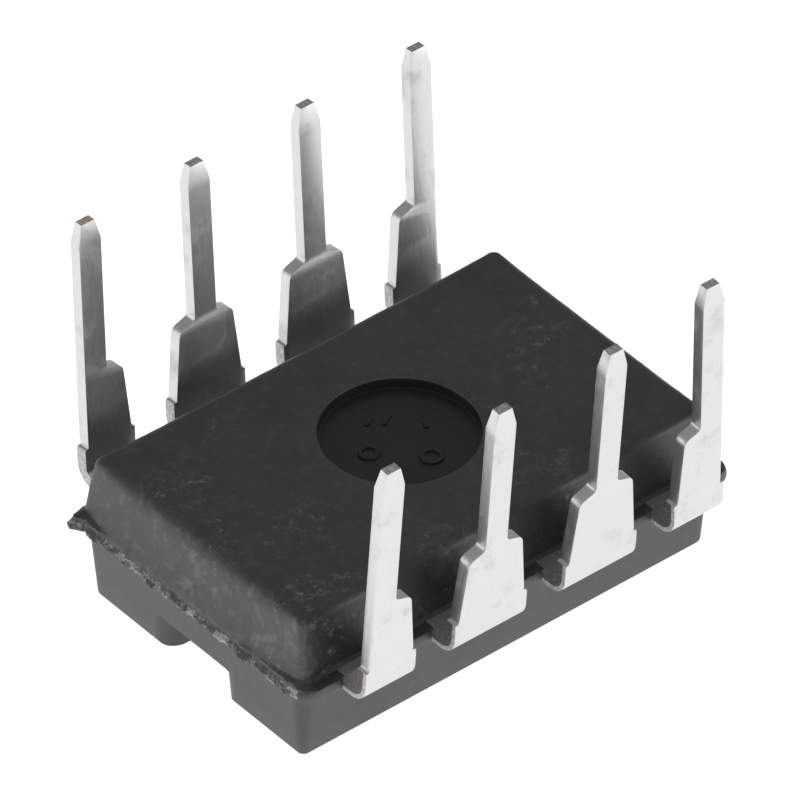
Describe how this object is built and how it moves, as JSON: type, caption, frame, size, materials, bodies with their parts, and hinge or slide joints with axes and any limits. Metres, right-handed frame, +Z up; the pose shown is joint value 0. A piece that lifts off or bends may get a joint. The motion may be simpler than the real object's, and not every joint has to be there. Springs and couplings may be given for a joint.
{
  "type": "dual in-line integrated circuit",
  "caption": "Black moulded chip lying on its marking face, with two rows of shouldered tin-plated legs bent up beside the body.",
  "frame": {"origin": "middle of the marking face, which lies on the floor", "axes": "+Z up from the marking face towards the leg tips; X along the two rows of legs with the index notch at the -X end; legs 1 to 4 on the +Y side and 5 to 8 on the -Y side"},
  "size_m": [0.01, 0.0089, 0.0072],
  "materials": {
    "epoxy": "matte moulded, lightly scuffed",
    "tin": "satin tin plating",
    "frame_alloy": "bare copper alloy strip",
    "adhesive": "cured silver-filled paste",
    "silicon": "polished silicon with a metal pattern",
    "gold": "bright drawn gold wire"
  },
  "bodies": {
    "root": {"body": "epoxy", "lead_1": "tin", "lead_2": "tin", "lead_3": "tin", "lead_4": "tin", "lead_5": "tin", "lead_6": "tin", "lead_7": "tin", "lead_8": "tin", "die_paddle": "frame_alloy", "die_attach": "adhesive", "silicon_die": "silicon", "bond_wire_1": "gold", "bond_wire_2": "gold", "bond_wire_3": "gold", "bond_wire_4": "gold", "bond_wire_5": "gold", "bond_wire_6": "gold", "bond_wire_7": "gold", "bond_wire_8": "gold"}
  },
  "joints": []
}
